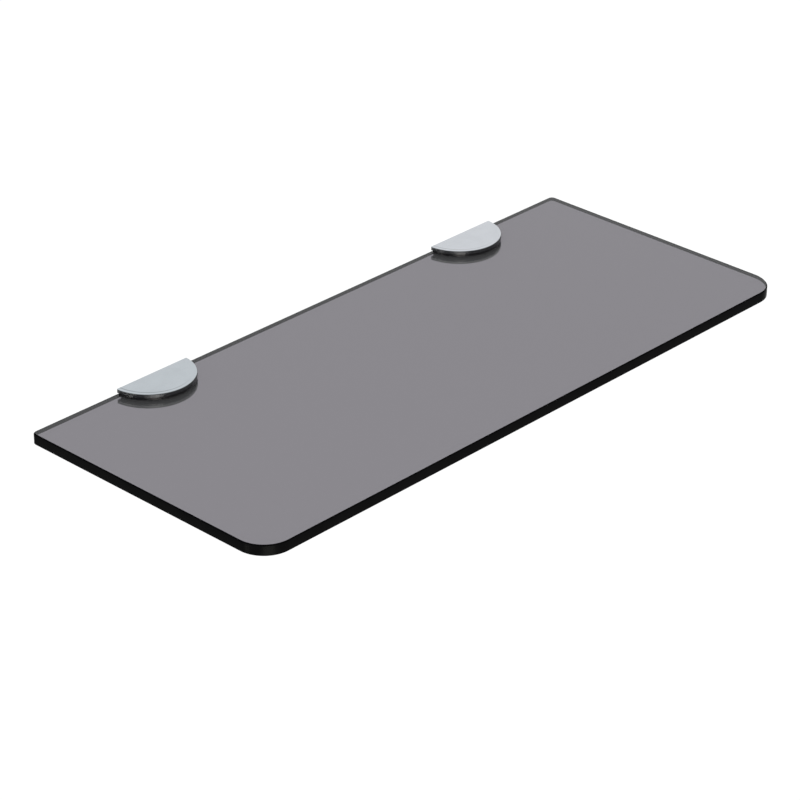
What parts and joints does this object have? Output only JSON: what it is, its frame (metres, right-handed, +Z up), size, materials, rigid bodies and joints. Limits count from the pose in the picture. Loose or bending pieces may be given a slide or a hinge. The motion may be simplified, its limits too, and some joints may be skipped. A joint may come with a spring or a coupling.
{
  "type": "wall shelf with brackets",
  "caption": "Tinted glass shelf board with rounded front corners, gripped at its back edge by half-moon chrome clamps that screw to a wall.",
  "frame": {"origin": "on the wall plane, midway between the two clamps, level with the middle of the glass and with the wall screw holes", "axes": "+X along the shelf to the right as seen from the room, +Y into the wall, +Z up"},
  "size_m": [0.6096, 0.256, 0.0198],
  "materials": {
    "tinted_glass": "polished, grey tint, ground arris on every edge",
    "clamp_chrome": "bright chrome plate on a zinc casting",
    "pad_rubber": "smooth black rubber",
    "screw_steel": "plain stainless steel",
    "tip_nylon": "natural white nylon"
  },
  "bodies": {
    "brackets": {"clamp_left": "clamp_chrome", "clamp_right": "clamp_chrome", "upper_pad_left": "pad_rubber", "upper_pad_right": "pad_rubber", "lower_pad_left": "pad_rubber", "lower_pad_right": "pad_rubber"},
    "board": {"glass_board": "tinted_glass"},
    "tip_left_outer": {"tip_left_outer": "tip_nylon"},
    "screw_left_outer": {"set_screw_left_outer": "screw_steel"},
    "tip_left_inner": {"tip_left_inner": "tip_nylon"},
    "screw_left_inner": {"set_screw_left_inner": "screw_steel"},
    "tip_right_inner": {"tip_right_inner": "tip_nylon"},
    "screw_right_inner": {"set_screw_right_inner": "screw_steel"},
    "tip_right_outer": {"tip_right_outer": "tip_nylon"},
    "screw_right_outer": {"set_screw_right_outer": "screw_steel"}
  },
  "joints": [
    {"name": "board_slide", "type": "slide", "parent": "brackets", "child": "board", "axis": [0, -1, 0], "range_m": [0, 0.034]},
    {"name": "tip_travel_left_outer", "type": "slide", "parent": "brackets", "child": "tip_left_outer", "axis": [0, 0, 1], "range_m": [-0.0015, 0]},
    {"name": "screw_turn_left_outer", "type": "hinge", "parent": "tip_left_outer", "child": "screw_left_outer", "pos_m": [-0.196, -0.02, -0.008], "axis": [0, 0, 1], "range_deg": [-676, 0]},
    {"name": "tip_travel_left_inner", "type": "slide", "parent": "brackets", "child": "tip_left_inner", "axis": [0, 0, 1], "range_m": [-0.0015, 0]},
    {"name": "screw_turn_left_inner", "type": "hinge", "parent": "tip_left_inner", "child": "screw_left_inner", "pos_m": [-0.166, -0.02, -0.008], "axis": [0, 0, 1], "range_deg": [-676, 0]},
    {"name": "tip_travel_right_inner", "type": "slide", "parent": "brackets", "child": "tip_right_inner", "axis": [0, 0, 1], "range_m": [-0.0015, 0]},
    {"name": "screw_turn_right_inner", "type": "hinge", "parent": "tip_right_inner", "child": "screw_right_inner", "pos_m": [0.166, -0.02, -0.008], "axis": [0, 0, 1], "range_deg": [-676, 0]},
    {"name": "tip_travel_right_outer", "type": "slide", "parent": "brackets", "child": "tip_right_outer", "axis": [0, 0, 1], "range_m": [-0.0015, 0]},
    {"name": "screw_turn_right_outer", "type": "hinge", "parent": "tip_right_outer", "child": "screw_right_outer", "pos_m": [0.196, -0.02, -0.008], "axis": [0, 0, 1], "range_deg": [-676, 0]}
  ],
  "couplings": [
    {"joint": "screw_turn_left_outer", "follows": "tip_travel_left_outer", "rad_per_m": 7854},
    {"joint": "screw_turn_left_inner", "follows": "tip_travel_left_inner", "rad_per_m": 7854},
    {"joint": "screw_turn_right_inner", "follows": "tip_travel_right_inner", "rad_per_m": 7854},
    {"joint": "screw_turn_right_outer", "follows": "tip_travel_right_outer", "rad_per_m": 7854}
  ]
}
